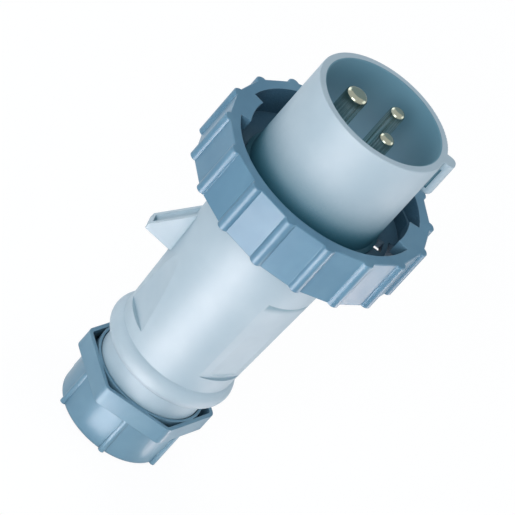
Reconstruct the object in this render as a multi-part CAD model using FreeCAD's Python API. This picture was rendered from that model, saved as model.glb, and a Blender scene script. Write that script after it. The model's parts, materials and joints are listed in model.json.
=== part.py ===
import FreeCAD, Part
import math
import os

# Three-pole industrial pin and sleeve plug, watertight form. The plug's axis is
# Z, zero lies on the rear face of the gland nut and the pins point to +Z. The
# key of the shroud lies on +X, the earth pin and the catch nose on -X.
# All sizes are real millimetres.

# Fits shared by the pieces
slip_gap = 0.15         # radial gap of a pushed-in joint
turn_gap = 0.06         # radial running gap of the turning ring
axial_gap = 0.3         # end play of a captive piece
part_gap = 0.3          # gap between pieces that only lie together

# Shroud and key
shroud_radius = 22.0
shroud_wall = 2.43
well_depth = 40.0
rim_round = 0.3
key_height = 3.2
key_width = 5.0
key_length = 12.4
key_round = 2.1
key_end_round = 1.3
key_groove_width = 0.7
key_groove_depth = 0.8
key_groove_rear = 2.6
key_groove_length = 7.6

# Joint of the front body and the handle
joint_height = 98.6
floor_step = 1.1
floor_thickness = 5.0
spigot_step = 2.95
spigot_wall = 2.45
spigot_length = 14.6
spigot_bevel = 0.5
seal_section = 0.72
seal_squeeze = 0.02
seal_depth = 4.0
seal_groove_depth = 1.3
seal_groove_width = 2.0
retaining_bead_height = 1.1
retaining_bead_width = 1.4
retaining_bead_land = 0.4

# Bayonet ring
lug_radius = 27.4
lug_height = 3.35
lug_block_depth = 6.0
lug_half_angle = 12.6
lug_angles = (-4.3, 175.7)
lug_entry_thickness = 4.0
lug_end_thickness = 4.8
ledge_height = 0.6
ledge_end_depth = 8.0
ledge_angle = 56.0
ring_wall = 3.25
ring_skirt_wall = 3.6
ring_skirt_length = 4.9
ring_front_length = 13.0
ring_sides = 16
ring_rib_height = 1.8
ring_rib_round = 1.95
ring_rib_turn_angle = -8.1
ring_edge_bevel = 0.25
web_thickness = 2.8
window_rim = 0.55
window_margin = 0.3
window_margin_angle = 0.9
key_passage_gap = 0.3

# Turning stops of the bayonet ring
ring_travel_angle = 50.0
stop_margin_angle = 0.8
stop_tab_half_angle = 5.0
stop_tab_height = 3.6
stop_rib_angle = 6.0
stop_rib_gap = 1.2
stop_rib_setback = 1.4
tab_angles = (100.0, 280.0)

# Handle
collar_step = 1.0
collar_thickness = 2.7
collar_bevel = 1.3
handle_wall = 2.5
body_radius_rear = 19.15
body_rear = 35.0
bead_radius = 21.1
bead_round = 4.0
bead_setback = 3.5
neck_radius = 17.15
neck_shoulder = 4.0
thread_step = 1.05
thread_room = 0.65
neck_wall = 2.1
neck_rear = 6.0
neck_bevel = 0.6
cage_stop_thickness = 3.0
cage_stop_bore = 11.4
cage_stop_setback = 2.6
wire_room_step = 0.8
wire_room_wall = 2.55
wire_room_taper = 7.0
wire_room_land = 3.0

# Catch nose
nose_front = 77.2
nose_tip = 63.2
nose_heel = 61.4
nose_rear = 60.1
nose_tip_radius = 29.75
nose_heel_radius = 29.85
nose_width = 6.2
nose_groove_width = 3.6
nose_groove_depth = 1.2
nose_groove_margin = 1.0

# Flats for labels
label_angle = -40.0
label_half_angle = 21.0
label_rear = 41.0
label_front = 62.5
label_ramp = 1.5
hollow_front = 75.6
hollow_depth = 0.9
hollow_step_length = 2.2
hollow_floor_radius = 38.0
left_flat_angle = -152.0
left_flat_rear = 39.6
left_flat_depth = 1.35
left_flat_front = 64.0

# Pins and terminals
pin_circle_inset = 7.8
earth_pin_radius = 3.5
phase_pin_radius = 2.5
phase_tip_setback = 1.2
tip_round = 1.6
pin_step = 0.2
earth_barrel_radius = 4.7
phase_barrel_radius = 4.1
barrel_length = 22.3
wire_hole_radius = 2.35
wire_hole_depth = 13.0
terminal_setback = 6.8
terminal_screw_radius = 1.5
terminal_head_radius = 2.3
terminal_head_height = 1.8
screw_slot_width = 0.7
screw_slot_depth = 0.8
leaf_thickness = 0.5
leaf_width = 2.8
leaf_length = 8.0
leaf_offset = 1.2

# Contact carrier and retainer plate
plate_thickness = 3.4
plate_step = 0.7
wire_entry_radius = 2.9
carrier_screw_inset = 4.7
carrier_screw_radius = 1.3
carrier_head_radius = 2.4
carrier_head_height = 1.8
carrier_screw_grip = 3.5

# Gland
nut_length = 20.5
nut_flange_length = 6.2
nut_mouth_depth = 0.6
nut_wall = 1.4
nut_taper = 0.6
nut_flange_step = 0.75
nut_corner_round = 2.6
nut_corner_angle = 3.0
nut_edge_round = 1.1
nut_rib_radius = 1.0
nut_rib_step = 0.25
nut_pocket_wall = 1.25
nut_pocket_floor_thickness = 1.1
nut_inner_wall = 0.85
nut_lip = 3.0
cable_radius = 8.5
cable_bevel = 0.6
slip_ring_thickness = 1.4
slip_ring_step = 0.6
slip_ring_land = 0.8
cage_wall = 1.4
cage_base = 3.4
cage_fingers = 8
cage_slot_width = 1.6
seal_bore = 7.7
seal_bevel = 0.8

# Radii and heights that follow from the sizes above
shroud_bore = shroud_radius - shroud_wall
spigot_radius = shroud_radius - spigot_step
spigot_bore = spigot_radius - spigot_wall
key_top_radius = shroud_radius + key_height
retaining_bead_radius = shroud_radius + retaining_bead_height
well_floor = joint_height - floor_step
floor_rear = well_floor - floor_thickness
rim_height = well_floor + well_depth
spigot_rear = joint_height - spigot_length
seal_height = joint_height - seal_depth
ring_hole_radius = lug_radius + lug_height
ring_flat_radius = ring_hole_radius + ring_wall
ring_skirt_radius = ring_flat_radius - ring_skirt_wall
ring_rib_radius = ring_flat_radius + ring_rib_height
ring_rear = joint_height - ring_skirt_length
ring_front = joint_height + ring_front_length
web_low = joint_height + axial_gap
web_high = web_low + web_thickness
ledge_radius = ring_hole_radius - ledge_height
collar_radius = shroud_radius + collar_step
collar_low = joint_height - collar_thickness
handle_bore = spigot_radius + slip_gap
body_radius_front = handle_bore + handle_wall
bead_height = body_rear - bead_setback
carrier_radius = spigot_bore - part_gap
carrier_screw_circle_radius = carrier_radius - carrier_screw_inset
pin_circle_radius = spigot_bore - pin_circle_inset
barrel_rear = floor_rear - barrel_length
carrier_rear = barrel_rear - part_gap
plate_rear = carrier_rear - plate_thickness
terminal_height = barrel_rear + terminal_setback
neck_front = nut_length - nut_mouth_depth
thread_seat_radius = neck_radius - thread_step
neck_bore = thread_seat_radius - neck_wall
cage_stop = neck_front - cage_stop_setback
nut_flange_rear = nut_length - nut_flange_length
nut_bore = thread_seat_radius + thread_room
nut_mouth = neck_radius + part_gap
nut_wall_rear = nut_bore + nut_wall
nut_wall_front = nut_wall_rear + nut_taper
nut_flat_radius = nut_wall_front + nut_flange_step


def point(radius, height):
    return FreeCAD.Vector(radius, 0, height)


def turned(points):
    """Solid of revolution of a closed outline of radius and height pairs."""
    corners = [point(radius, height) for radius, height in points]
    corners.append(corners[0])
    face = Part.Face(Part.makePolygon(corners))
    return face.revolve(FreeCAD.Vector(0, 0, 0), FreeCAD.Vector(0, 0, 1), 360)


def tube(inner, outer, low, high):
    return turned([(inner, low), (outer, low), (outer, high), (inner, high)])


def rod(radius, low, high, x=0.0, y=0.0):
    return Part.makeCylinder(radius, high - low, FreeCAD.Vector(x, y, low))


def polar(radius, angle):
    turn = math.radians(angle)
    return radius * math.cos(turn), radius * math.sin(turn)


def about_axis(shape, angle):
    copy = shape.copy()
    copy.rotate(FreeCAD.Vector(0, 0, 0), FreeCAD.Vector(0, 0, 1), angle)
    return copy


def sector(inner, outer, low, high, start, end):
    """Piece of a ring between two angles in degrees."""
    face = Part.Face(
        Part.makePolygon(
            [point(inner, low), point(outer, low), point(outer, high), point(inner, high), point(inner, low)]
        )
    )
    piece = face.revolve(FreeCAD.Vector(0, 0, 0), FreeCAD.Vector(0, 0, 1), end - start)
    return about_axis(piece, start)


def side_plate(outline, width):
    """Flat plate across Y whose outline is given in X and Z."""
    corners = [FreeCAD.Vector(x, -width / 2, z) for x, z in outline]
    corners.append(corners[0])
    return Part.Face(Part.makePolygon(corners)).extrude(FreeCAD.Vector(0, width, 0))


def under_ramp(inner, outer, start, start_height, end, end_height, depth):
    """Solid below a screw surface between two angles, each with its own height."""
    climb = abs(end_height - start_height)
    pitch = climb * 360.0 / (end - start)
    falls = end_height < start_height
    foot_angle = end if falls else start
    rails = []
    for radius in (inner, outer):
        rail = Part.makeHelix(pitch, climb, radius, 0, falls)
        rail.rotate(FreeCAD.Vector(0, 0, 0), FreeCAD.Vector(0, 0, 1), foot_angle)
        rail.translate(FreeCAD.Vector(0, 0, min(start_height, end_height)))
        rails.append(rail.Edges[0])
    surface = Part.makeRuledSurface(rails[0], rails[1])
    return surface.extrude(FreeCAD.Vector(0, 0, -depth))


def body_radius(height):
    share = (height - body_rear) / (collar_low - body_rear)
    return body_radius_rear + share * (body_radius_front - body_radius_rear)


os.makedirs("parts", exist_ok=True)
solids = {}
carrier_screw_tip = floor_rear + carrier_screw_grip
pins = {
    "earth": (180.0, earth_pin_radius, earth_barrel_radius, rim_height),
    "live": (60.0, phase_pin_radius, phase_barrel_radius, rim_height - phase_tip_setback),
    "neutral": (-60.0, phase_pin_radius, phase_barrel_radius, rim_height - phase_tip_setback),
}
carrier_screw_angles = (0.0, 120.0, 240.0)

# Front body: shroud, floor and spigot in one moulding
bead_low = web_high + axial_gap
bead_high = bead_low + retaining_bead_width
groove_low = seal_height - seal_groove_width / 2
groove_high = seal_height + seal_groove_width / 2
groove_radius = spigot_radius - seal_groove_depth
front_body = turned(
    [
        (0, floor_rear),
        (spigot_bore, floor_rear),
        (spigot_bore, spigot_rear),
        (spigot_radius - spigot_bevel, spigot_rear),
        (spigot_radius, spigot_rear + spigot_bevel),
        (spigot_radius, groove_low),
        (groove_radius, groove_low),
        (groove_radius, groove_high),
        (spigot_radius, groove_high),
        (spigot_radius, joint_height),
        (shroud_radius, joint_height),
        (shroud_radius, bead_low),
        (retaining_bead_radius, bead_low),
        (retaining_bead_radius, bead_low + retaining_bead_land),
        (shroud_radius, bead_high),
        (shroud_radius, rim_height),
        (shroud_bore, rim_height),
        (shroud_bore, well_floor),
        (0, well_floor),
    ]
)
key_reach = key_top_radius - shroud_radius + 1.2
key = Part.makeBox(
    key_reach,
    key_width,
    key_length,
    FreeCAD.Vector(key_top_radius - key_reach, -key_width / 2, rim_height - key_length),
)
side_edges = []
end_edges = []
for edge in key.Edges:
    middle = edge.CenterOfMass
    outer = middle.x > key_top_radius - 0.01
    if outer and abs(middle.y) > 0.01:
        side_edges.append(edge)
key = key.makeFillet(key_round, side_edges)
for edge in key.Edges:
    box = edge.BoundBox
    if box.XMax > key_top_radius - 0.01 and box.ZMax < rim_height - key_length + 0.01:
        end_edges.append(edge)
key = key.makeFillet(key_end_round, end_edges)
key_groove_front = rim_height - key_groove_rear
for side in (-1, 1):
    groove = Part.makeBox(
        key_groove_width,
        key_groove_depth,
        key_groove_length,
        FreeCAD.Vector(
            shroud_radius - 0.05,
            side * key_width / 2 - key_groove_depth / 2,
            key_groove_front - key_groove_length,
        ),
    )
    key = key.cut(groove)
front_body = front_body.fuse(key).removeSplitter()
rim_edges = []
for edge in front_body.Edges:
    middle = edge.BoundBox
    flat_on_rim = middle.ZMin > rim_height - 0.01 and middle.ZMax < rim_height + 0.01
    if flat_on_rim:
        rim_edges.append(edge)
front_body = front_body.makeFillet(rim_round, rim_edges)
for angle, radius, barrel, tip in pins.values():
    x, y = polar(pin_circle_radius, angle)
    front_body = front_body.cut(rod(radius + pin_step + slip_gap, floor_rear - 1, well_floor + 1, x, y))
for angle in carrier_screw_angles:
    x, y = polar(carrier_screw_circle_radius, angle)
    hole = rod(carrier_screw_radius + 0.05, floor_rear - 1, carrier_screw_tip + part_gap + 0.1, x, y)
    front_body = front_body.cut(hole)
solids["front_body"] = front_body

# Contact carrier behind the floor, with a radial window over each terminal
carrier = rod(carrier_radius, carrier_rear, floor_rear)
for angle, radius, barrel, tip in pins.values():
    x, y = polar(pin_circle_radius, angle)
    carrier = carrier.cut(rod(barrel + slip_gap, carrier_rear - 1, floor_rear + 1, x, y))
    window = Part.makeCylinder(
        terminal_head_radius + 0.4,
        carrier_radius,
        FreeCAD.Vector(pin_circle_radius, 0, terminal_height),
        FreeCAD.Vector(1, 0, 0),
    )
    carrier = carrier.cut(about_axis(window, angle))
for angle in carrier_screw_angles:
    x, y = polar(carrier_screw_circle_radius, angle)
    carrier = carrier.cut(rod(carrier_screw_radius + slip_gap, carrier_rear - 1, floor_rear + 1, x, y))
solids["contact_carrier"] = carrier

# Retainer plate with wire entries and the three screws through it
plate = rod(carrier_radius - plate_step, plate_rear, carrier_rear)
for angle, radius, barrel, tip in pins.values():
    x, y = polar(pin_circle_radius, angle)
    plate = plate.cut(rod(wire_entry_radius, plate_rear - 1, carrier_rear + 1, x, y))
for angle in carrier_screw_angles:
    x, y = polar(carrier_screw_circle_radius, angle)
    plate = plate.cut(rod(carrier_screw_radius + slip_gap, plate_rear - 1, carrier_rear + 1, x, y))
solids["retainer_plate"] = plate
for number, angle in enumerate(carrier_screw_angles, start=1):
    x, y = polar(carrier_screw_circle_radius, angle)
    screw = rod(carrier_screw_radius, plate_rear, carrier_screw_tip, x, y)
    head = rod(carrier_head_radius, plate_rear - carrier_head_height, plate_rear, x, y)
    slot = Part.makeBox(
        2 * carrier_head_radius + 1,
        screw_slot_width,
        screw_slot_depth,
        FreeCAD.Vector(
            x - carrier_head_radius - 0.5,
            y - screw_slot_width / 2,
            plate_rear - carrier_head_height - 0.01,
        ),
    )
    solids["carrier_screw_%d" % number] = screw.fuse(head).cut(slot)

# Pins with terminal barrels, terminal screws and wire leaves
for name, (angle, radius, barrel, tip) in pins.items():
    shoulder = floor_rear
    pin = turned(
        [
            (0, barrel_rear),
            (barrel, barrel_rear),
            (barrel, shoulder),
            (radius + pin_step, shoulder),
            (radius + pin_step, well_floor),
            (radius, well_floor),
            (radius, tip),
            (0, tip),
        ]
    )
    tip_edges = []
    for edge in pin.Edges:
        if edge.BoundBox.ZMin > tip - 0.01 and edge.Length > 1:
            tip_edges.append(edge)
    pin = pin.makeFillet(tip_round, tip_edges)
    pin = pin.cut(rod(wire_hole_radius, barrel_rear - 1, barrel_rear + wire_hole_depth))
    thread_hole = Part.makeCylinder(
        terminal_screw_radius + 0.05,
        barrel + 1,
        FreeCAD.Vector(0, 0, terminal_height),
        FreeCAD.Vector(1, 0, 0),
    )
    pin = pin.cut(thread_hole)
    pin.translate(FreeCAD.Vector(pin_circle_radius, 0, 0))
    solids[name + "_pin"] = about_axis(pin, angle)
    head_seat = pin_circle_radius + barrel + 0.2
    screw_tip = pin_circle_radius + leaf_offset + leaf_thickness + 0.05
    shaft = Part.makeCylinder(
        terminal_screw_radius,
        head_seat - screw_tip,
        FreeCAD.Vector(screw_tip, 0, terminal_height),
        FreeCAD.Vector(1, 0, 0),
    )
    head = Part.makeCylinder(
        terminal_head_radius,
        terminal_head_height,
        FreeCAD.Vector(head_seat, 0, terminal_height),
        FreeCAD.Vector(1, 0, 0),
    )
    slot = Part.makeBox(
        screw_slot_depth + 0.2,
        2 * terminal_head_radius + 1,
        screw_slot_width,
        FreeCAD.Vector(
            head_seat + terminal_head_height - screw_slot_depth,
            -terminal_head_radius - 0.5,
            terminal_height - screw_slot_width / 2,
        ),
    )
    screw = shaft.fuse(head).cut(slot)
    solids[name + "_terminal_screw"] = about_axis(screw, angle)
    leaf = Part.makeBox(
        leaf_thickness,
        leaf_width,
        leaf_length,
        FreeCAD.Vector(pin_circle_radius + leaf_offset, -leaf_width / 2, terminal_height - leaf_length / 2),
    )
    solids[name + "_wire_leaf"] = about_axis(leaf, angle)

# Body seal in the spigot groove
seal_circle = (groove_radius + handle_bore) / 2
solids["body_seal"] = Part.makeTorus(seal_circle, seal_section - seal_squeeze, FreeCAD.Vector(0, 0, seal_height))

# Bayonet ring: sixteen flat sides with a rounded grip rib on each corner
corner_radius = ring_flat_radius / math.cos(math.pi / ring_sides)
corners = []
for number in range(ring_sides + 1):
    x, y = polar(corner_radius, ring_rib_turn_angle + number * 360.0 / ring_sides)
    corners.append(FreeCAD.Vector(x, y, ring_rear))
ring_height = ring_front - ring_rear
ring = Part.Face(Part.makePolygon(corners)).extrude(FreeCAD.Vector(0, 0, ring_height))
for number in range(ring_sides):
    x, y = polar(ring_rib_radius - ring_rib_round, ring_rib_turn_angle + number * 360.0 / ring_sides)
    ring = ring.fuse(rod(ring_rib_round, ring_rear, ring_front, x, y))
ring = ring.removeSplitter()
end_edges = []
for edge in ring.Edges:
    if edge.BoundBox.ZLength < 0.01:
        end_edges.append(edge)
ring = ring.makeChamfer(ring_edge_bevel, end_edges)
ring_inside = turned(
    [
        (0, ring_rear - 1),
        (ring_skirt_radius, ring_rear - 1),
        (ring_skirt_radius, web_low),
        (shroud_radius + turn_gap, web_low),
        (shroud_radius + turn_gap, web_high),
        (ring_hole_radius, web_high),
        (ring_hole_radius, ring_front + 1),
        (0, ring_front + 1),
    ]
)
ring = ring.cut(ring_inside)
for angle in lug_angles:
    start = angle - lug_half_angle
    end = angle + lug_half_angle
    lug = sector(lug_radius, ring_hole_radius + 0.6, ring_front - lug_block_depth, ring_front, start, end)
    ramp = under_ramp(
        lug_radius - 2,
        ring_hole_radius + 2,
        start - 2,
        ring_front - lug_end_thickness,
        end + 2,
        ring_front - lug_entry_thickness,
        ring_height,
    )
    ring = ring.fuse(lug.cut(ramp))
    ledge = sector(ledge_radius, ring_hole_radius + 0.6, web_high - 0.5, ring_front, end, end + ledge_angle)
    below = under_ramp(
        ledge_radius - 2,
        ring_hole_radius + 2,
        end - 1,
        ring_front - lug_entry_thickness,
        end + ledge_angle + 1,
        ring_front - ledge_end_depth,
        ring_height,
    )
    ring = ring.fuse(ledge.common(below))
    window = sector(
        lug_radius - window_margin,
        ring_hole_radius - window_rim,
        web_low - 1,
        web_high + 0.5,
        start - window_margin_angle,
        end + window_margin_angle,
    )
    ring = ring.cut(window)
key_passage_width = key_width + 2 * key_passage_gap
key_passage = Part.makeBox(
    key_top_radius + key_passage_gap,
    key_passage_width,
    web_thickness + 1,
    FreeCAD.Vector(0, -key_passage_width / 2, web_low - 0.5),
)
ring = ring.cut(key_passage)
for tab in tab_angles:
    free_side = stop_tab_half_angle + stop_margin_angle
    rest_side = tab + free_side
    locked_side = tab - free_side - ring_travel_angle - stop_rib_angle
    for start in (rest_side, locked_side):
        stop = sector(
            collar_radius + stop_rib_gap,
            ring_skirt_radius + 0.5,
            ring_rear + stop_rib_setback,
            web_low + 0.5,
            start,
            start + stop_rib_angle,
        )
        ring = ring.fuse(stop)
solids["bayonet_ring"] = ring.removeSplitter()

# Handle: collar, tapered grip, bead and threaded neck
handle = turned(
    [
        (0, joint_height),
        (collar_radius, joint_height),
        (collar_radius, collar_low),
        (body_radius_front, collar_low - collar_bevel),
        (body_radius_rear, body_rear),
        (neck_radius, body_rear - neck_shoulder),
        (neck_radius, neck_front),
        (thread_seat_radius, neck_front - 0.4),
        (thread_seat_radius, neck_rear + neck_bevel),
        (thread_seat_radius - neck_bevel, neck_rear),
        (0, neck_rear),
    ]
)
bead = Part.makeTorus(bead_radius - bead_round, bead_round, FreeCAD.Vector(0, 0, bead_height))
handle = handle.fuse(bead)
nose = side_plate(
    [
        (-body_radius_rear, nose_front),
        (-nose_tip_radius, nose_tip),
        (-nose_heel_radius, nose_heel),
        (-body_radius_rear, nose_rear),
    ],
    nose_width,
)
ramp_run = nose_tip_radius - body_radius_rear
ramp_rise = nose_front - nose_tip
ramp_length = math.hypot(ramp_run, ramp_rise)
groove_radius = (nose_groove_width**2 / 4 + nose_groove_depth**2) / (2 * nose_groove_depth)
groove = Part.makeCylinder(
    groove_radius,
    ramp_length,
    FreeCAD.Vector(nose_groove_margin, 0, groove_radius - nose_groove_depth),
    FreeCAD.Vector(1, 0, 0),
)
groove.rotate(
    FreeCAD.Vector(0, 0, 0),
    FreeCAD.Vector(0, 1, 0),
    -math.degrees(math.atan2(ramp_rise, ramp_run)),
)
groove.translate(FreeCAD.Vector(-nose_tip_radius, 0, nose_tip))
cutter_width = 1.4 * body_radius_front
hollow_front_radius = body_radius(hollow_front)
hollow_axis = hollow_floor_radius - hollow_front_radius
hollow_reach = 2 * hollow_depth
hollow_cut_radius = hollow_floor_radius + hollow_reach
hollow_cut = turned(
    [
        (body_radius(label_rear) - hollow_depth + hollow_axis, label_rear),
        (hollow_front_radius - hollow_depth + hollow_axis, hollow_front),
        (hollow_cut_radius, hollow_front),
        (hollow_cut_radius, label_rear),
    ]
)
hollow_cut.translate(FreeCAD.Vector(-hollow_axis, 0, 0))
hollow_cut = about_axis(hollow_cut, label_angle)
hollow_limit = turned(
    [
        (0, label_rear),
        (hollow_front_radius + hollow_reach, label_rear),
        (hollow_front_radius + hollow_reach, hollow_front + 2 * hollow_step_length),
        (hollow_front_radius - hollow_reach, hollow_front - 2 * hollow_step_length),
        (0, hollow_front - 2 * hollow_step_length),
    ]
)
handle = handle.cut(hollow_cut.common(hollow_limit))
label_rear_depth = body_radius(label_rear) * math.cos(math.radians(label_half_angle))
label_front_depth = body_radius(label_front) * math.cos(math.radians(label_half_angle))
label_cut = side_plate(
    [
        (body_radius(label_rear) + 0.02, label_rear),
        (label_rear_depth, label_rear + label_ramp),
        (label_front_depth, label_front - label_ramp),
        (body_radius(label_front) + 0.02, label_front),
        (body_radius_front + 4, label_front + 2),
        (body_radius_front + 4, label_rear - 2),
    ],
    cutter_width,
)
handle = handle.cut(about_axis(label_cut, label_angle))
left_cut = side_plate(
    [
        (body_radius(left_flat_rear) - left_flat_depth, left_flat_rear),
        (body_radius(left_flat_front), left_flat_front),
        (body_radius_front + 4, left_flat_front),
        (body_radius_front + 4, left_flat_rear),
    ],
    cutter_width,
)
handle = handle.cut(about_axis(left_cut, left_flat_angle))
handle = handle.fuse(nose.cut(groove))
wire_room = turned(
    [
        (0, neck_rear - 1),
        (neck_bore, neck_rear - 1),
        (neck_bore, cage_stop),
        (cage_stop_bore, cage_stop),
        (cage_stop_bore, cage_stop + cage_stop_thickness),
        (neck_bore, cage_stop + cage_stop_thickness + 2),
        (neck_bore, bead_height + 2),
        (body_radius_rear - wire_room_wall, bead_height + wire_room_taper),
        (spigot_bore + wire_room_step, spigot_rear - wire_room_land),
        (spigot_bore + wire_room_step, spigot_rear - axial_gap),
        (handle_bore, spigot_rear - axial_gap),
        (handle_bore, joint_height + 1),
        (0, joint_height + 1),
    ]
)
handle = handle.cut(wire_room)
for tab in tab_angles:
    stop = sector(
        collar_radius - 0.6,
        collar_radius + stop_tab_height,
        collar_low,
        joint_height - 0.1,
        tab - stop_tab_half_angle,
        tab + stop_tab_half_angle,
    )
    handle = handle.fuse(stop)
solids["handle"] = handle.removeSplitter()

# Gland nut: hexagonal flange in front, ribbed round wall behind
nut_pocket_floor = nut_flange_rear + nut_pocket_floor_thickness
hexagon = []
pocket = []
for number in range(7):
    angle = nut_corner_angle + number * 60.0
    x, y = polar(nut_flat_radius / math.cos(math.pi / 6), angle)
    hexagon.append(FreeCAD.Vector(x, y, nut_flange_rear))
    x, y = polar((nut_flat_radius - nut_pocket_wall) / math.cos(math.pi / 6), angle)
    pocket.append(FreeCAD.Vector(x, y, nut_pocket_floor))
flange = Part.Face(Part.makePolygon(hexagon)).extrude(FreeCAD.Vector(0, 0, nut_flange_length))
upright = []
for edge in flange.Edges:
    if edge.BoundBox.ZLength > 1:
        upright.append(edge)
flange = flange.makeFillet(nut_corner_round, upright)
pockets = Part.Face(Part.makePolygon(pocket)).extrude(FreeCAD.Vector(0, 0, nut_length - nut_pocket_floor + 1))
upright = []
for edge in pockets.Edges:
    if edge.BoundBox.ZLength > 1:
        upright.append(edge)
pockets = pockets.makeFillet(nut_corner_round - nut_pocket_wall, upright)
pockets = pockets.cut(rod(nut_mouth + nut_inner_wall, nut_pocket_floor - 1, nut_length + 2))
nut_wall_top = nut_flange_rear + 0.5
nut = turned([(0, 0), (nut_wall_rear, 0), (nut_wall_front, nut_wall_top), (0, nut_wall_top)])
rear_edges = []
for edge in nut.Edges:
    if edge.BoundBox.ZMax < 0.01 and edge.Length > 2 * nut_wall_rear:
        rear_edges.append(edge)
nut = nut.makeFillet(nut_edge_round, rear_edges)
for number in range(6):
    x, y = polar(nut_wall_rear + nut_rib_step, nut_corner_angle + 30.0 + number * 60.0)
    rib = rod(nut_rib_radius, 0.5, nut_wall_top, x, y)
    nut = nut.fuse(rib)
nut = nut.fuse(flange).cut(pockets)
slip_ring_radius = neck_bore + slip_ring_step
slip_ring_rear = nut_lip + part_gap
slip_ring_front = slip_ring_rear + slip_ring_thickness
nut_inside = turned(
    [
        (0, -1),
        (cable_radius + cable_bevel, -1),
        (cable_radius + cable_bevel, 0),
        (cable_radius, cable_bevel),
        (cable_radius, nut_lip),
        (slip_ring_radius + part_gap, nut_lip),
        (slip_ring_radius + part_gap, slip_ring_front),
        (nut_bore, slip_ring_front + slip_ring_land),
        (nut_bore, neck_front - 1.0),
        (nut_mouth, neck_front - 0.6),
        (nut_mouth, nut_length + 1),
        (0, nut_length + 1),
    ]
)
solids["gland_nut"] = nut.cut(nut_inside).removeSplitter()

# Slip ring, clamping cage and rubber seal of the gland
solids["slip_ring"] = tube(cable_radius + slip_ring_land, slip_ring_radius, slip_ring_rear, slip_ring_front)
cage_radius = neck_bore - slip_gap
cage_rear = slip_ring_front + part_gap
cage = tube(cage_radius - cage_wall, cage_radius, cage_rear, cage_stop)
for number in range(cage_fingers // 2):
    slot = Part.makeBox(
        2 * cage_radius + 2,
        cage_slot_width,
        cage_stop - cage_base - cage_rear + 1,
        FreeCAD.Vector(-cage_radius - 1, -cage_slot_width / 2, cage_rear - 1),
    )
    cage = cage.cut(about_axis(slot, 22.5 + number * 360.0 / cage_fingers))
solids["gland_cage"] = cage
seal_radius = cage_radius - cage_wall - slip_gap
solids["gland_seal"] = turned(
    [
        (seal_bore + seal_bevel, cage_rear),
        (seal_radius, cage_rear),
        (seal_radius, cage_stop - 0.2),
        (seal_bore + seal_bevel, cage_stop - 0.2),
        (seal_bore, cage_stop - 2.2),
        (seal_bore, cage_rear + 2),
    ]
)

for name, shape in solids.items():
    solid_count = len(shape.Solids)
    print(name, "valid", shape.isValid(), "solids", solid_count, "volume", round(shape.Volume, 1))
    shape.exportStep("parts/" + name + ".step")
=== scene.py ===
# %% [markdown]
# An industrial pin and sleeve plug, dressed in Blender
#
# The solid parts of this plug come from a CAD model: a shroud with three pins, a ribbed
# bayonet ring, a tapered handle and a cable gland. This lesson loads them as a fixed frame
# and gives them what a CAD file lacks: moulded plastic with its fine grain, turned metal,
# rubber, the gland's screw threads, soft studio light and the camera of the photograph.
# Every length is in metres and every object sits at the origin, so a point of a mesh is
# a point of the real plug: Z is its axis, zero is the rear face of the gland nut, the key
# of the shroud points to +X and the earth pin to -X.

# %% Load the frame
import json
import math

import bpy
import numpy as np
from mathutils import Matrix, Vector


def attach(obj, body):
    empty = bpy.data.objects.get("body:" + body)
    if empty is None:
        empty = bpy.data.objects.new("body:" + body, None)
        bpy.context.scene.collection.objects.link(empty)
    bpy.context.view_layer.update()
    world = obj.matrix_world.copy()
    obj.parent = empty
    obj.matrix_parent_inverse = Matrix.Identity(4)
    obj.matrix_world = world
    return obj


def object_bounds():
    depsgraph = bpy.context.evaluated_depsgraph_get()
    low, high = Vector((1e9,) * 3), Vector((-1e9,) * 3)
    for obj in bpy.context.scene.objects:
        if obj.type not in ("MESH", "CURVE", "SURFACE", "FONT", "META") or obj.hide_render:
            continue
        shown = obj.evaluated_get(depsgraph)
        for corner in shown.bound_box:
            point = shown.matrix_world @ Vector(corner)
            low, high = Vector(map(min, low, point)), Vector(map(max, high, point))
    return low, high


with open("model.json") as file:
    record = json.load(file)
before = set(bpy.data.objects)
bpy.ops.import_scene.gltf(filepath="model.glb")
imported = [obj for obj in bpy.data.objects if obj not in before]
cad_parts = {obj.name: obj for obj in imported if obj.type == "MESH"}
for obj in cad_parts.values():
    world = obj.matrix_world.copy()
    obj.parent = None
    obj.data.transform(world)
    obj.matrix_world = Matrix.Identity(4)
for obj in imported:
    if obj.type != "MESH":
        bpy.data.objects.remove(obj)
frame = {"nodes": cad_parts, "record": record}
cad_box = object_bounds()
nodes = frame["nodes"]
bpy.context.scene.view_settings.view_transform = "Standard"

# %% [markdown]
# The camera stands where the photographer's stood. Its direction is given by two angles:
# the azimuth, which turns it round the plug, and the elevation above the horizon. The
# plug stands upright here but lies across the photograph, so the camera is also rolled
# about its line of sight until the plug's axis rises at the same slant as in the picture.
# A long lens from more than a metre away keeps the rim and the ring nearly elliptical.

# %% Camera
view_azimuth = math.radians(-9.6)
view_elevation = math.radians(31.91)
axis_slant = math.radians(48.2)
rim_distance = 1.308
rim_right = -0.0007
rim_up = 0.0538
lens_length = 328.5


def camera_axes(azimuth, elevation):
    """Unit vectors of a level camera: to the right, up, and back from the object to the lens."""
    right = Vector((math.cos(azimuth), math.sin(azimuth), 0))
    back = Vector(
        (
            math.sin(azimuth) * math.cos(elevation),
            -math.cos(azimuth) * math.cos(elevation),
            math.sin(elevation),
        )
    )
    return right, back.cross(right), back


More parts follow.
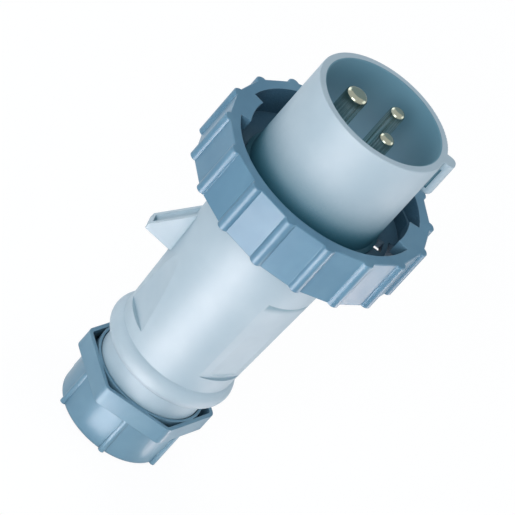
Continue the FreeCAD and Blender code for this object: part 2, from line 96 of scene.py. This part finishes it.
level_right, level_up, back = camera_axes(view_azimuth, view_elevation)
roll = math.pi / 2 - axis_slant
picture_right = level_right * math.cos(roll) + level_up * math.sin(roll)
picture_up = level_up * math.cos(roll) - level_right * math.sin(roll)
rim_centre = Vector((0, 0, cad_box[1].z))
aim = rim_centre - level_right * rim_right - level_up * rim_up
camera_data = bpy.data.cameras.new("photo_camera")
camera_data.sensor_width = 36
camera_data.lens = lens_length
camera = bpy.data.objects.new("photo_camera", camera_data)
bpy.context.scene.collection.objects.link(camera)
turn = Matrix((picture_right, picture_up, back)).transposed()
camera.matrix_world = Matrix.Translation(aim + back * rim_distance) @ turn.to_4x4()
bpy.context.scene.camera = camera
print("camera at", [round(x, 3) for x in camera.location])

# %% [markdown]
# The photograph shows the plug cut out on plain white. A white floor carries it here, and
# the world behind it is white too, but only for rays that come straight from the camera or
# off shiny and clear surfaces. All other rays see a light tent, brighter at the horizon
# than overhead, so the background is white without flooding the plug with light. Part of
# the floor's white is its own plain paint, which keeps the shadow under the gland nut.

# %% Soft studio
horizon_light = 0.85
zenith_light = 0.2
tent_colour = (0.85, 0.97, 1.06, 1)
white = (1, 1, 1, 1)
floor_half_width = 4.0
floor_drop = 0.0002
floor_paint = (0.86, 0.87, 0.88, 1)
floor_glow = 1.04
glow_share = 0.9


def link(tree, source, target):
    tree.links.new(source, target)


def straight_or_mirrored(tree):
    """Output that is 1 for camera, glossy and transmission rays: the largest of the three."""
    path = tree.nodes.new("ShaderNodeLightPath")
    first = tree.nodes.new("ShaderNodeMath")
    first.operation = "MAXIMUM"
    link(tree, path.outputs["Is Camera Ray"], first.inputs[0])
    link(tree, path.outputs["Is Glossy Ray"], first.inputs[1])
    second = tree.nodes.new("ShaderNodeMath")
    second.operation = "MAXIMUM"
    link(tree, first.outputs[0], second.inputs[0])
    link(tree, path.outputs["Is Transmission Ray"], second.inputs[1])
    return second.outputs[0]


def white_world():
    """White where the camera or a reflection looks, and a tent that fades overhead for all other light."""
    world = bpy.data.worlds.new("studio_world")
    world.use_nodes = True
    bpy.context.scene.world = world
    tree = world.node_tree
    tree.nodes.clear()
    soft = tree.nodes.new("ShaderNodeBackground")
    soft.inputs["Color"].default_value = tent_colour
    direction = tree.nodes.new("ShaderNodeTexCoord")
    parts = tree.nodes.new("ShaderNodeSeparateXYZ")
    fade = tree.nodes.new("ShaderNodeMapRange")
    fade.inputs["To Min"].default_value = horizon_light
    fade.inputs["To Max"].default_value = zenith_light
    link(tree, direction.outputs["Generated"], parts.inputs[0])
    link(tree, parts.outputs["Z"], fade.inputs["Value"])
    link(tree, fade.outputs[0], soft.inputs["Strength"])
    plain = tree.nodes.new("ShaderNodeBackground")
    plain.inputs["Color"].default_value = white
    mix = tree.nodes.new("ShaderNodeMixShader")
    output = tree.nodes.new("ShaderNodeOutputWorld")
    link(tree, straight_or_mirrored(tree), mix.inputs[0])
    link(tree, soft.outputs[0], mix.inputs[1])
    link(tree, plain.outputs[0], mix.inputs[2])
    link(tree, mix.outputs[0], output.inputs["Surface"])


white_world()
print("tent light", horizon_light, "at the horizon,", zenith_light, "overhead")

# %% Floor


def white_floor():
    """A square floor whose paint keeps the shadow and whose glow makes up the white."""
    mesh = bpy.data.meshes.new("floor")
    w = floor_half_width
    corners = [(-w, -w, -floor_drop), (w, -w, -floor_drop), (w, w, -floor_drop), (-w, w, -floor_drop)]
    mesh.from_pydata(corners, [], [(0, 1, 2, 3)])
    floor = bpy.data.objects.new("floor", mesh)
    bpy.context.scene.collection.objects.link(floor)
    paint = bpy.data.materials.new("white_floor")
    paint.use_nodes = True
    tree = paint.node_tree
    tree.nodes.clear()
    flat = tree.nodes.new("ShaderNodeBsdfDiffuse")
    flat.inputs["Color"].default_value = floor_paint
    glow = tree.nodes.new("ShaderNodeEmission")
    glow.inputs["Color"].default_value = white
    glow.inputs["Strength"].default_value = floor_glow
    share = tree.nodes.new("ShaderNodeMath")
    share.operation = "MULTIPLY"
    share.inputs[1].default_value = glow_share
    mix = tree.nodes.new("ShaderNodeMixShader")
    output = tree.nodes.new("ShaderNodeOutputMaterial")
    link(tree, straight_or_mirrored(tree), share.inputs[0])
    link(tree, share.outputs[0], mix.inputs[0])
    link(tree, flat.outputs[0], mix.inputs[1])
    link(tree, glow.outputs[0], mix.inputs[2])
    link(tree, mix.outputs[0], output.inputs["Surface"])
    mesh.materials.append(paint)
    return floor


floor = white_floor()
print("floor", floor.name)

# %% [markdown]
# In the photograph the sides of the plug are bright and the faces that look along the
# pins are darker, so the light comes from all round and little from above. Three big
# panels stand round the plug like the walls of a tent, the one beside the camera the
# strongest. Pale streaks run along the body, the nut and the ring. The camera looks down
# on the plug, so its upright walls mirror the floor: the streaks therefore come from rows
# of panes that lie on the floor and shine upwards, and light nothing but the gloss. Each
# pane is wider than the one before it, so a row fills the same angle near and far. Faces
# that look along the pins mirror a grey card instead, which hangs behind the plug and
# keeps their colour deep. The panes are a little warm, because the plastic is blue and its
# highlights in the photograph are nearly white.

# %% Lamps
panels = {-104: 8.0, 20: 2.6, 130: 4.0}
panel_distance = 1.15
panel_height = 0.52
panel_size = 0.8
streaks = {-103: (21, 0.004, 12.6), -48.2: (12, 0.0, 6.4)}
pane_tint = (1.0, 0.84, 0.8)
pane_near = 0.004
pane_shares = (1.0, 1.0, 1.0, 0.93, 0.82, 1.0)
pane_height = 0.001
wall_radius = 0.019
card_colour = (0.38, 0.5, 0.57, 1)


def polar(azimuth, distance, height):
    """A point at an angle round the plug's axis, in degrees from +X."""
    turn = math.radians(azimuth)
    return Vector((distance * math.cos(turn), distance * math.sin(turn), height))


def area_lamp(name, place, facing, length, width, power):
    """A rectangular lamp whose light leaves along facing."""
    data = bpy.data.lights.new(name, "AREA")
    data.shape = "RECTANGLE"
    data.size = length
    data.size_y = width
    data.energy = power
    lamp = bpy.data.objects.new(name, data)
    bpy.context.scene.collection.objects.link(lamp)
    lamp.location = place
    lamp.rotation_mode = "QUATERNION"
    lamp.rotation_quaternion = (-facing).to_track_quat("Z", "Y")
    lamp.visible_camera = False
    return lamp


def pane_row(name, streak, half_angle, margin, glow):
    """Panes on the floor that draw a streak at one azimuth of the plug's wall.

    A wall mirrors the camera's direction, minus 90 degrees plus its azimuth, to twice the
    streak's azimuth less that direction. Along that heading each pane is twice as far and
    long as the last, and as wide as the angle asks, plus a margin for the wall's own width.
    A lamp's power is its glow times pi times its area, so all would look equally bright, but
    for a share that dims the panes which the middle of the grip mirrors.
    """
    heading = 2 * streak - (math.degrees(view_azimuth) - 90)
    for step, share in enumerate(pane_shares):
        length = pane_near * 2**step
        distance = 1.5 * length
        width = 2 * (distance * math.tan(math.radians(half_angle)) + margin)
        place = polar(streak, wall_radius, pane_height) + polar(heading, distance, 0)
        power = share * glow * math.pi * length * width
        pane = area_lamp(f"{name}_{step}", place, Vector((0, 0, 1)), length, width, power)
        pane.rotation_mode = "XYZ"
        pane.rotation_euler = (math.pi, 0, math.radians(heading))
        pane.visible_diffuse = False
        pane.data.color = pane_tint


def grey_card(distance, elevation, half_width, half_height):
    """A card square to the direction in which faces that look up mirror the camera."""
    card_azimuth = math.degrees(view_azimuth) + 90
    centre = polar(card_azimuth, distance * math.cos(elevation), distance * math.sin(elevation))
    across = polar(card_azimuth + 90, half_width, 0)
    upward = centre.cross(across).normalized() * half_height
    corners = [centre + across * a + upward * b for a, b in ((-1, -1), (1, -1), (1, 1), (-1, 1))]
    mesh = bpy.data.meshes.new("grey_card")
    mesh.from_pydata(corners, [], [(0, 1, 2, 3)])
    card = bpy.data.objects.new("grey_card", mesh)
    bpy.context.scene.collection.objects.link(card)
    paint = bpy.data.materials.new("grey_card")
    paint.use_nodes = True
    tree = paint.node_tree
    tree.nodes.clear()
    glow = tree.nodes.new("ShaderNodeEmission")
    glow.inputs["Color"].default_value = card_colour
    output = tree.nodes.new("ShaderNodeOutputMaterial")
    link(tree, glow.outputs[0], output.inputs["Surface"])
    mesh.materials.append(paint)
    for ray in ("camera", "diffuse", "transmission", "shadow", "volume_scatter"):
        setattr(card, f"visible_{ray}", False)
    return card


middle = Vector((0, 0, cad_box[1].z / 2))
for azimuth, power in panels.items():
    place = polar(azimuth, panel_distance, panel_height)
    area_lamp(f"panel_{azimuth}", place, middle - place, panel_size, panel_size, power)
for number, (streak, shape) in enumerate(streaks.items()):
    pane_row(f"pane_{number}", streak, *shape)
grey_card(distance=1.6, elevation=view_elevation, half_width=1.3, half_height=0.6)
print("lamps", [lamp.name for lamp in bpy.data.lights])

# %% [markdown]
# A finish is a small network of shader nodes. To keep such a network readable, the class
# Signal wraps one node output and overloads + - and *, so a formula such as 1 - mask adds
# its own Math nodes. Any other node comes from one method, Finish.node, which takes the
# node's type, its settings and the values or links of its sockets.

# %% Shader maths


class Signal:
    """One output of a shader node. Arithmetic on it adds the Math nodes that work it out."""

    def __init__(self, finish, socket):
        self.finish = finish
        self.socket = socket

    def maths(self, operation, first, second):
        node = self.finish.node("ShaderNodeMath", {"operation": operation}, {0: first, 1: second})
        return node.out(0)

    def __add__(self, other):
        return self.maths("ADD", self, other)

    def __radd__(self, other):
        return self.maths("ADD", other, self)

    def __sub__(self, other):
        return self.maths("SUBTRACT", self, other)

    def __rsub__(self, other):
        return self.maths("SUBTRACT", other, self)

    def __mul__(self, other):
        return self.maths("MULTIPLY", self, other)

    def __rmul__(self, other):
        return self.maths("MULTIPLY", other, self)

    def clamped(self):
        held = {"operation": "ADD", "use_clamp": True}
        return self.finish.node("ShaderNodeMath", held, {0: self, 1: 0.0}).out(0)


class ShaderNode:
    """A shader node of a finish, whose outputs come as signals."""

    def __init__(self, finish, node):
        self.finish = finish
        self.node = node

    def out(self, key):
        return Signal(self.finish, self.node.outputs[key])


# %% The finish and its nodes


class Finish:
    """One material in the making: a principled shader and the nodes that feed it."""

    def __init__(self, name):
        self.material = bpy.data.materials.new(name)
        self.material.use_nodes = True
        self.tree = self.material.node_tree
        self.shader = self.tree.nodes["Principled BSDF"]

    def node(self, kind, settings, values):
        """A node of any kind: its settings first, then the values or links of its sockets."""
        node = self.tree.nodes.new(kind)
        for key, setting in settings.items():
            if key == "stops":
                self.fill_ramp(node.color_ramp, setting)
            else:
                setattr(node, key, setting)
        for key, value in values.items():
            self.feed(node.inputs[key], value)
        return ShaderNode(self, node)

    def feed(self, socket, value):
        if isinstance(value, Signal):
            self.tree.links.new(value.socket, socket)
        else:
            socket.default_value = value

    def fill_ramp(self, ramp, stops):
        while len(ramp.elements) < len(stops):
            ramp.elements.new(1.0)
        for element, (place, colour) in zip(ramp.elements, stops):
            element.position = place
            element.color = colour

    def surface(self, **sockets):
        """Feeds the shader's own sockets, named in words joined by underscores."""
        for name, value in sockets.items():
            self.feed(self.shader.inputs[name.replace("_", " ")], value)

    def place(self):
        """Object coordinates: the point of the plug itself, in metres."""
        return self.node("ShaderNodeTexCoord", {}, {}).out("Object")

    def noise(self, size, detail=2.0, roughness=0.5, vector=None):
        """Cloudy noise from 0 to 1 whose features are about size metres across."""
        values = {"Scale": 1.0 / size, "Detail": detail, "Roughness": roughness}
        values["Vector"] = vector or self.place()
        return self.node("ShaderNodeTexNoise", {}, values).out("Fac")

    def ramp(self, signal, stops):
        """Looks a signal up in a list of places and colours."""
        return self.node("ShaderNodeValToRGB", {"stops": stops}, {"Fac": signal}).out("Color")

    def between(self, signal, low, high):
        """0 where the signal is under low, 1 over high, with a smooth step between."""
        settings = {"interpolation_type": "SMOOTHSTEP"}
        values = {"Value": signal, "From Min": low, "From Max": high}
        return self.node("ShaderNodeMapRange", settings, values).out("Result")

    def mix_colours(self, share, first, second, blend="MIX"):
        """Mixes two colours: input 6 is the first, 7 the second and output 2 the result."""
        settings = {"data_type": "RGBA", "blend_type": blend}
        return self.node("ShaderNodeMix", settings, {0: share, 6: first, 7: second}).out(2)

    def recess(self, reach, open_share, shut_share):
        """0 in the open and 1 in a narrow gap: how much of the sky within reach is walled off."""
        values = {"Distance": reach}
        sky = self.node("ShaderNodeAmbientOcclusion", {"samples": 8}, values).out("AO")
        return self.between(1 - sky, open_share, shut_share)

    def cylindrical(self):
        """The distance from the plug's axis and the height above the nut's rear face, in metres."""
        place = self.place()
        flat = self.node("ShaderNodeVectorMath", {"operation": "MULTIPLY"}, {0: place, 1: (1, 1, 0)}).out(0)
        radius = self.node("ShaderNodeVectorMath", {"operation": "LENGTH"}, {0: flat}).out("Value")
        return radius, self.node("ShaderNodeSeparateXYZ", {}, {0: place}).out("Z")

    def sharp_edges(self, radius):
        """1 on sharp corners and 0 on plain faces: how far a rounded normal turns from the flat one."""
        rounded = self.node("ShaderNodeBevel", {"samples": 6}, {"Radius": radius}).out("Normal")
        flat = self.node("ShaderNodeNewGeometry", {}, {}).out("Normal")
        settings = {"operation": "DOT_PRODUCT"}
        alike = self.node("ShaderNodeVectorMath", settings, {0: rounded, 1: flat}).out("Value")
        return self.between(1 - alike, 0.004, 0.12)

    def bumped(self, height, depth, edge_radius):
        """A normal with a height pattern of some depth in metres, on edges rounded by a radius."""
        rounded = self.node("ShaderNodeBevel", {"samples": 6}, {"Radius": edge_radius}).out("Normal")
        values = {"Height": height, "Distance": depth, "Strength": 1.0, "Normal": rounded}
        return self.node("ShaderNodeBump", {}, values).out("Normal")


print("shader tools ready")

# %% [markdown]
# The body and the ring are moulded from engineering plastic. A steel mould is spark
# eroded, so the plastic copies a fine even grain about a fifth of a millimetre across:
# that grain gives satin plastic its soft highlights. On top come slow changes of colour,
# where the melt flowed together, and corners that are a little paler and smoother: partly
# wear, where hands and connectors have polished them, and partly a painted edge highlight.
# Gaps, the wall inside the shroud and the step above the flat panel get painted shade.

# %% Where shade and glow are painted on the plastic
well_radius = 0.0197
well_floor = 0.0975
cone_radius = 0.02085
cone_slope = 0.04187
cone_height = 0.0756
black = (0, 0, 0, 1)
# Colour of the painted glow deep inside the shroud, standing for light through its thin wall.
painted_glow = (0.072, 0.125, 0.158, 1)


def inside_well(finish, radius, height):
    """1 on the wall inside the shroud, which is nearer to the axis than the wall's own radius."""
    within = 1 - finish.between(radius, well_radius + 0.0001, well_radius + 0.0003)
    return within * finish.between(height, well_floor - 0.001, well_floor)


def inside_step(finish, radius, height):
    """1 on the step in front of the flat panel, where the grip lies below its own cone: the place of
    painted shade.
    """
    depth = cone_radius + cone_slope * (height - cone_height) - radius
    front = finish.between(height, 0.0718, 0.0745) * (1 - finish.between(height, 0.0785, 0.0795))
    return front * finish.between(depth, 0.00001, 0.0002)


print("the well reaches to", well_radius, "and starts at", well_floor)

# %% Moulded plastic


def moulded_plastic(name, colour, pale, dark, deep, gap, grain, roughness):
    """Satin plastic: one colour that drifts between a pale and a dark tone, with grain, wear, a painted
    edge highlight and painted shade.

    In narrow gaps it gets painted shade, a darker and rougher tone where much of the sky
    is walled off, less so low down, where the floor lights them. The wall inside the shroud
    towards its mouth and the step above the flat panel get painted shade too. Deep inside
    the shroud a painted glow stands for the light that comes through its thin wall.
    """
    finish = Finish(name)
    flow = finish.noise(0.021, 3.0, 0.55)
    speck = finish.noise(0.0011, 2.0, 0.6)
    fine = finish.noise(0.00022, 3.0, 0.65)
    worn_and_lit_edge = finish.sharp_edges(0.00045)
    rubbed = finish.between(finish.noise(0.006, 4.0, 0.6), 0.42, 0.66)
    drift = finish.ramp(flow, [(0.3, (*dark, 1)), (0.5, (*colour, 1)), (0.7, (*pale, 1))])
    specked = finish.mix_colours(0.05 * speck, drift, (*dark, 1))
    # Paler corners: partly wear, partly a painted edge highlight.
    paler = finish.mix_colours(0.35 * worn_and_lit_edge, specked, (*pale, 1))
    radius, height = finish.cylindrical()
    well = inside_well(finish, radius, height)
    mouth = finish.between(height, 0.102, 0.134)
    # Painted shade in gaps, from how much sky is walled off, at half strength low down.
    shade_by_height = 0.5 + 0.5 * finish.between(height, 0.05, 0.09)
    narrow = (1 - well) * shade_by_height * finish.recess(0.02, *gap)
    # All painted shade together: gaps, the wall inside the shroud towards its mouth and the step above the
    # flat panel, mixed towards the deep tone.
    sunk = narrow + 0.76 * well * mouth + 0.65 * inside_step(finish, radius, height)
    shaded_colour = finish.mix_colours(sunk.clamped(), paler, (*deep, 1))
    grained = roughness + 0.07 * (fine - 0.5) + 0.05 * rubbed - 0.05 * worn_and_lit_edge * rubbed
    scatter = grained + 0.4 * narrow + 0.3 * well
    finish.surface(
        Base_Color=shaded_colour,
        Roughness=scatter.clamped(),
        Normal=finish.bumped(fine + 0.6 * speck, grain, 0.0003),
        # Painted glow deep inside the shroud, where no lamp is.
        Emission_Color=finish.mix_colours((well * (1 - mouth)).clamped(), black, painted_glow),
    )
    finish.shader.inputs["Emission Strength"].default_value = 1.0
    finish.shader.inputs["IOR"].default_value = 1.45
    finish.shader.inputs["Specular IOR Level"].default_value = 0.42
    return finish.material


body_grey = moulded_plastic(
    "body_plastic",
    colour=(0.455, 0.555, 0.622),
    pale=(0.5, 0.595, 0.658),
    dark=(0.43, 0.535, 0.607),
    deep=(0.045, 0.2, 0.28),
    gap=(0.07, 0.8),
    grain=0.00001,
    roughness=0.52,
)
ring_blue_grey = moulded_plastic(
    "ring_plastic",
    colour=(0.125, 0.262, 0.375),
    pale=(0.16, 0.31, 0.425),
    dark=(0.105, 0.235, 0.345),
    deep=(0.015, 0.06, 0.1),
    gap=(0.45, 0.95),
    grain=0.00001,
    roughness=0.3,
)
nut_blue_grey = moulded_plastic(
    "nut_plastic",
    colour=(0.165, 0.3, 0.4),
    pale=(0.2, 0.345, 0.44),
    dark=(0.14, 0.27, 0.37),
    deep=(0.015, 0.06, 0.1),
    gap=(0.45, 0.95),
    grain=0.00001,
    roughness=0.34,
)
carrier_grey = moulded_plastic(
    "carrier_plastic",
    colour=(0.12, 0.17, 0.20),
    pale=(0.17, 0.22, 0.25),
    dark=(0.09, 0.13, 0.16),
    deep=(0.05, 0.08, 0.10),
    gap=(0.4, 0.95),
    grain=0.000012,
    roughness=0.5,
)
gland_white = moulded_plastic(
    "gland_plastic",
    colour=(0.68, 0.69, 0.66),
    pale=(0.76, 0.77, 0.74),
    dark=(0.6, 0.6, 0.57),
    deep=(0.42, 0.43, 0.41),
    gap=(0.4, 0.95),
    grain=0.00001,
    roughness=0.45,
)
plastics = (body_grey, ring_blue_grey, nut_blue_grey, carrier_grey, gland_white)
print("plastics", [plastic.name for plastic in plastics])

# %% [markdown]
# The pins are turned from brass and plated with nickel. A lathe leaves rings round each
# pin's own axis, a tenth of a millimetre apart. Where the pins have been pushed into a
# connector the plating is rubbed along its length: pale streaks run down the flanks, and
# the tips, rubbed the most, show the brass through the nickel and look khaki.

# %% Turned and plated metal


def turned_metal(name, plating, warm, roughness, rub_height, flank_share):
    """Nickel over brass with the lathe's rings, rubbed warmer above a height along Z.

    Under that height a film of grease and oxide dulls the metal, so that only the flank's
    share of it acts as a mirror.
    """
    finish = Finish(name)
    place = finish.place()
    parts = finish.node("ShaderNodeSeparateXYZ", {}, {0: place})
    height = parts.out("Z")
    stretched = finish.node("ShaderNodeMapping", {}, {"Vector": place, "Scale": (1, 1, 0.03)})
    streaks = finish.noise(0.0005, 3.0, 0.6, stretched.out(0))
    squeezed = finish.node("ShaderNodeMapping", {}, {"Vector": place, "Scale": (0.05, 0.05, 1)})
    rings = finish.noise(0.00012, 2.0, 0.6, squeezed.out(0))
    clouds = finish.noise(0.003, 3.0, 0.6)
    rubbed = finish.between(height + 0.004 * (clouds - 0.5), rub_height, rub_height + 0.0022)
    colour = finish.mix_colours((0.85 * rubbed + 0.15 * streaks).clamped(), (*plating, 1), (*warm, 1))
    bands = finish.between(streaks, 0.45, 0.62) * (1 - rubbed)
    streaked = finish.mix_colours(0.6 * bands, colour, (0.8, 0.88, 0.86, 1))
    finish.surface(
        Base_Color=streaked,
        Metallic=(flank_share + (1 - flank_share) * rubbed).clamped(),
        Roughness=(roughness + 0.12 * (streaks - 0.5) + 0.08 * (clouds - 0.5)).clamped(),
        Normal=finish.bumped(rings + 0.4 * streaks, 0.000003, 0.0002),
    )
    return finish.material


pin_nickel = turned_metal("pin_metal", (0.36, 0.47, 0.44), (0.33, 0.34, 0.265), 0.17, 0.1335, 0.8)
screw_zinc = turned_metal("screw_steel", (0.6, 0.61, 0.62), (0.68, 0.67, 0.62), 0.32, 0.3, 1.0)
print("metals", pin_nickel.name, screw_zinc.name)

# %% [markdown]
# The seals are black rubber. Rubber is matt because its surface is full of tiny pits, and
# it blooms: a thin greyish film of wax comes to the surface in clouds.

# %% Rubber


def matt_rubber(name):
    """Black rubber with pits and a pale bloom in clouds."""
    finish = Finish(name)
    bloom = finish.between(finish.noise(0.004, 4.0, 0.6), 0.4, 0.7)
    pits = finish.noise(0.00035, 3.0, 0.7)
    colour = finish.mix_colours(0.5 * bloom, (0.012, 0.012, 0.013, 1), (0.05, 0.05, 0.052, 1))
    finish.surface(
        Base_Color=colour,
        Roughness=(0.62 + 0.14 * bloom).clamped(),
        Normal=finish.bumped(pits, 0.00002, 0.0002),
    )
    return finish.material


seal_black = matt_rubber("seal_rubber")
print("rubber", seal_black.name)

# %% [markdown]
# Each CAD node already knows which material slot it belongs to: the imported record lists
# the slot of every piece. So the finishes are handed out by that name, and no piece can
# be forgotten.

# %% Hand out the finishes
finishes = {
    "body_plastic": body_grey,
    "ring_plastic": ring_blue_grey,
    "carrier_plastic": carrier_grey,
    "gland_plastic": gland_white,
    "pin_metal": pin_nickel,
    "screw_steel": screw_zinc,
    "seal_rubber": seal_black,
}


def coat(piece, slot):
    """Gives a piece one finish in place of what it came with."""
    piece.data.materials.clear()
    piece.data.materials.append(finishes[slot])


for part in frame["record"]["subparts"]:
    coat(nodes[part["node"]], part["material_slot"])
nodes["gland_nut"].data.materials[0] = nut_blue_grey

# %% [markdown]
# The gland nut screws onto the neck of the handle. Their threads are ridges that climb
# along a screw line: a point of the ridge rises by one pitch in every full turn. The CAD
# pieces carry plain seats for them, and the ridges could be cut there too, but as a grid of
# points a ridge is much lighter. Each one starts as a row of four corners across the ridge,
# swept along the screw line with numpy. Its height fades in and out over a sixth of a turn,
# as a moulded thread does, and the base is sunk a little into the wall. The two ridges are
# half a pitch apart, so the nut can turn and follow its own screw line without touching.

# %% Screw threads
thread_pitch = 0.002
steps_per_turn = 120
base_half_width = 0.00055
crest_half_width = 0.0002
base_sink = 0.0001
fades_per_turn = 6
least_share = 0.02


def thread_ridge(name, seat, crest, low, high):
    """A ridge along a right-handed screw line, as one closed grid.

    At turn t the ridge's middle lies at height low + pitch times t, t full circles from +X.
    Across it run four corners: two at the seat, sunk by a tenth of a millimetre, and two at
    the crest. The crest's share of its full height grows from its least to 1 over the first
    sixth of a turn and falls again over the last.
    """
    turns = (high - low) / thread_pitch
    count = int(turns * steps_per_turn)
    turn = np.linspace(0.0, turns, count)
    fade = np.clip(np.minimum(turn, turns - turn) * fades_per_turn, 0, 1)
    share = least_share + (1 - least_share) * fade * fade * (3 - 2 * fade)
    sunk = seat - math.copysign(base_sink, crest - seat)
    top = sunk + (crest - sunk) * share
    base = np.full(count, sunk)
    radius = np.stack([base, top, top, base], axis=1)
    rise = low + thread_pitch * turn
    across = [-base_half_width, -crest_half_width, crest_half_width, base_half_width]
    height = rise[:, None] + np.array(across)
    angle = (2 * math.pi * turn)[:, None]
    points = np.stack([radius * np.cos(angle), radius * np.sin(angle), height], axis=2).reshape(-1, 3)
    corner = np.arange(count * 4).reshape(count, 4)
    beside = np.roll(corner, -1, axis=1)
    quads = np.stack([corner[:-1], beside[:-1], beside[1:], corner[1:]], axis=2).reshape(-1, 4)
    caps = np.stack([corner[0, ::-1], corner[-1]])
    faces = np.concatenate([quads, caps])
    if crest > seat:
        faces = faces[:, ::-1]
    mesh = bpy.data.meshes.new(name)
    mesh.from_pydata(points.tolist(), [], faces.tolist())
    mesh.shade_smooth()
    mesh.set_sharp_from_angle(angle=math.radians(25))
    ridge = bpy.data.objects.new(name, mesh)
    bpy.context.scene.collection.objects.link(ridge)
    return ridge


def outward_volume(piece):
    """Six times the volume inside a closed mesh by the divergence rule, in cubic millimetres."""
    mesh = piece.data
    mesh.calc_loop_triangles()
    corners = np.empty(len(mesh.loop_triangles) * 3, dtype=np.int32)
    mesh.loop_triangles.foreach_get("vertices", corners)
    points = np.empty(len(mesh.vertices) * 3)
    mesh.vertices.foreach_get("co", points)
    a, b, c = points.reshape(-1, 3)[corners.reshape(-1, 3)].transpose(1, 0, 2)
    return float(np.sum(a * np.cross(b, c)) * 1e9)


neck_thread = thread_ridge("neck_thread", seat=0.0161, crest=0.01655, low=0.0066, high=0.0193)
nut_thread = thread_ridge("nut_thread", seat=0.01675, crest=0.0163, low=0.0056, high=0.0186)
for ridge, body, slot in ((neck_thread, "plug", "body_plastic"), (nut_thread, "nut", "ring_plastic")):
    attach(ridge, body)
    coat(ridge, slot)
    if body == "nut":
        ridge.data.materials[0] = nut_blue_grey
    print(ridge.name, len(ridge.data.polygons), "faces, volume x 6:", round(outward_volume(ridge), 1))
